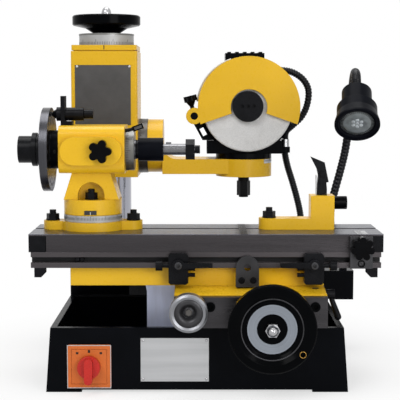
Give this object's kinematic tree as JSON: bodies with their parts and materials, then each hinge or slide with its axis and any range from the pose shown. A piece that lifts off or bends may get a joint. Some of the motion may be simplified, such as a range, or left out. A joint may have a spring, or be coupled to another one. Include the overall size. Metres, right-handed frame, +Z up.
{
  "type": "tool and cutter grinder",
  "caption": "Bench tool and cutter grinder: sliding table with an indexing workhead and tooth rest, and a guarded grinding head on a column with a swivelling arm.",
  "frame": {"origin": "centre of the base's footprint, on the surface that it stands on", "axes": "+X along the table to the right, +Y to the back, +Z up"},
  "size_m": [0.5455, 0.507, 0.578],
  "materials": {
    "yellow_paint": "gloss enamel on cast iron",
    "black_paint": "gloss black enamel",
    "table_iron": "ground and oiled cast iron",
    "bright_steel": "turned and ground steel",
    "dark_steel": "blackened steel",
    "chrome": "hard chromed and ground",
    "aluminium": "turned aluminium",
    "black_plastic": "moulded phenolic",
    "red_plastic": "moulded red plastic",
    "abrasive": "bonded white abrasive",
    "bronze": "machined bronze",
    "conduit": "corrugated plastic"
  },
  "bodies": {
    "machine_base": {"base": "black_paint", "cross_way": "table_iron", "cross_nut": "bronze", "switch_plate": "bright_steel", "column": "chrome", "lamp_stand": "black_paint", "gooseneck": "conduit", "lamp_head": "black_paint"},
    "switch": {"switch_knob": "red_plastic"},
    "saddle": {"saddle": "yellow_paint", "saddle_gibs": "table_iron", "front_plate": "table_iron", "socket_screws": "dark_steel", "centre_bracket": "dark_steel"},
    "lock_lever": {"saddle_lever": "dark_steel"},
    "cross_feed": {"cross_knob": "aluminium"},
    "traverse": {"traverse_shaft": "bright_steel", "front_handwheel": "black_paint"},
    "idler": {"idler_gear": "bright_steel"},
    "table": {"lower_table": "table_iron", "table_rack": "bright_steel", "clamp_plate": "dark_steel", "end_stops": "dark_steel", "left_stop": "dark_steel", "right_stop": "dark_steel"},
    "clamp_knob": {"table_knob": "black_plastic"},
    "left_clamp": {"left_lever": "dark_steel"},
    "right_clamp": {"right_lever": "dark_steel"},
    "top_table": {"swivel_table": "table_iron", "end_blocks": "dark_steel", "workhead_flange": "table_iron", "tee_bolts": "bright_steel", "tooth_bracket": "yellow_paint"},
    "workhead": {"workhead_body": "yellow_paint", "index_bracket": "dark_steel"},
    "work_spindle": {"workhead_spindle": "bright_steel", "index_disc": "bright_steel", "collar_knob": "dark_steel", "spindle_dial": "bright_steel", "arbor_nut": "bright_steel"},
    "plunger": {"index_pin": "bright_steel"},
    "workhead_lock": {"workhead_knob": "black_plastic"},
    "rest_holder": {"tooth_holder": "bright_steel"},
    "rest_blade": {"tooth_blade": "bright_steel"},
    "rest_lock": {"tooth_knob": "black_plastic"},
    "wheel_box": {"elevating_box": "yellow_paint", "box_cover": "yellow_paint", "arm_flange": "bright_steel", "arm": "yellow_paint", "swivel_clamp": "bright_steel", "conduit_drop": "conduit"},
    "lift_screw": {"elevating_screw": "bright_steel", "top_handwheel": "black_paint"},
    "wheel_head": {"motor": "black_paint", "guard_strap": "black_paint", "conduit_loop": "conduit"},
    "wheel_spindle": {"motor_spindle": "dark_steel", "grinding_wheel": "abrasive"},
    "guard": {"wheel_guard": "yellow_paint"},
    "guard_lock": {"guard_knob": "black_plastic"}
  },
  "joints": [
    {"name": "switch_turn", "type": "hinge", "parent": "machine_base", "child": "switch", "pos_m": [-0.1566, -0.204, 0.0386], "axis": [0, 1, 0], "range_deg": [-45, 45]},
    {"name": "cross_slide", "type": "slide", "parent": "machine_base", "child": "saddle", "axis": [0, 1, 0], "range_m": [-0.03, 0.025]},
    {"name": "cross_feed_turn", "type": "hinge", "parent": "saddle", "child": "cross_feed", "pos_m": [-0.012, -0.23, 0.1235], "axis": [0, 1, 0], "range_deg": [-2701, 2251]},
    {"name": "saddle_lock_turn", "type": "hinge", "parent": "saddle", "child": "lock_lever", "pos_m": [0.195, -0.17, 0.139], "axis": [1, 0, 0], "range_deg": [-45, 60]},
    {"name": "table_slide", "type": "slide", "parent": "saddle", "child": "table", "axis": [1, 0, 0], "range_m": [-0.055, 0.059]},
    {"name": "traverse_turn", "type": "hinge", "parent": "saddle", "child": "traverse", "pos_m": [0.105, -0.2, 0.106], "axis": [0, 1, 0], "range_deg": [-226, 211]},
    {"name": "idler_turn", "type": "hinge", "parent": "saddle", "child": "idler", "pos_m": [0.105, -0.138, 0.146], "axis": [0, 1, 0], "range_deg": [-127, 136]},
    {"name": "clamp_knob_turn", "type": "hinge", "parent": "table", "child": "clamp_knob", "pos_m": [0.241, -0.17, 0.208], "axis": [0, 1, 0], "range_deg": [-180, 180]},
    {"name": "left_clamp_turn", "type": "hinge", "parent": "table", "child": "left_clamp", "pos_m": [-0.0275, -0.178, 0.183], "axis": [0, 1, 0], "range_deg": [-60, 25]},
    {"name": "right_clamp_turn", "type": "hinge", "parent": "table", "child": "right_clamp", "pos_m": [0.1715, -0.178, 0.183], "axis": [0, 1, 0], "range_deg": [-25, 60]},
    {"name": "table_swivel", "type": "hinge", "parent": "table", "child": "top_table", "pos_m": [0.013, -0.0736, 0.2], "axis": [0, 0, 1], "range_deg": [0, 3]},
    {"name": "workhead_swivel", "type": "hinge", "parent": "top_table", "child": "workhead", "pos_m": [-0.1593, -0.0916, 0.251], "axis": [0, 0, 1], "range_deg": [-45, 45]},
    {"name": "work_spindle_turn", "type": "hinge", "parent": "workhead", "child": "work_spindle", "pos_m": [-0.15, -0.0916, 0.348], "axis": [1, 0, 0], "continuous": true},
    {"name": "plunger_draw", "type": "slide", "parent": "workhead", "child": "plunger", "axis": [1, 0, 0], "range_m": [0, 0.006]},
    {"name": "workhead_lock_turn", "type": "hinge", "parent": "workhead", "child": "workhead_lock", "pos_m": [-0.1425, -0.155, 0.3483], "axis": [0, 1, 0], "range_deg": [-180, 180]},
    {"name": "rest_height", "type": "slide", "parent": "top_table", "child": "rest_holder", "axis": [0, 0, 1], "range_m": [-0.006, 0.02]},
    {"name": "rest_blade_tilt", "type": "hinge", "parent": "rest_holder", "child": "rest_blade", "pos_m": [0.19, -0.1, 0.3111], "axis": [0, 1, 0], "range_deg": [-20, 20]},
    {"name": "rest_lock_turn", "type": "hinge", "parent": "top_table", "child": "rest_lock", "pos_m": [0.21, -0.0916, 0.2666], "axis": [1, 0, 0], "range_deg": [-180, 180]},
    {"name": "head_lift", "type": "slide", "parent": "machine_base", "child": "wheel_box", "axis": [0, 0, 1], "range_m": [-0.05, 0.06]},
    {"name": "lift_turn", "type": "hinge", "parent": "wheel_box", "child": "lift_screw", "pos_m": [-0.1545, 0.125, 0.55], "axis": [0, 0, 1], "range_deg": [-4501, 5401]},
    {"name": "head_swivel", "type": "hinge", "parent": "wheel_box", "child": "wheel_head", "pos_m": [0.079, 0.125, 0.3223], "axis": [0, 0, 1], "range_deg": [-40, 45], "deforming": ["conduit_drop"]},
    {"name": "wheel_turn", "type": "hinge", "parent": "wheel_head", "child": "wheel_spindle", "pos_m": [0.083, 0.1, 0.411], "axis": [0, 1, 0], "continuous": true},
    {"name": "guard_slide", "type": "slide", "parent": "wheel_head", "child": "guard", "axis": [0, 1, 0], "range_m": [-0.012, 0]},
    {"name": "guard_lock_turn", "type": "hinge", "parent": "guard", "child": "guard_lock", "pos_m": [-0.0082, 0.074, 0.40674], "axis": [-0.2419, 0, 0.9703], "range_deg": [-180, 180]}
  ],
  "couplings": [
    {"joint": "cross_feed_turn", "follows": "cross_slide", "rad_per_m": 1570.8},
    {"joint": "idler_turn", "follows": "table_slide", "rad_per_m": 40},
    {"joint": "traverse_turn", "follows": "table_slide", "rad_per_m": -66.667},
    {"joint": "lift_turn", "follows": "head_lift", "rad_per_m": 1570.8}
  ]
}
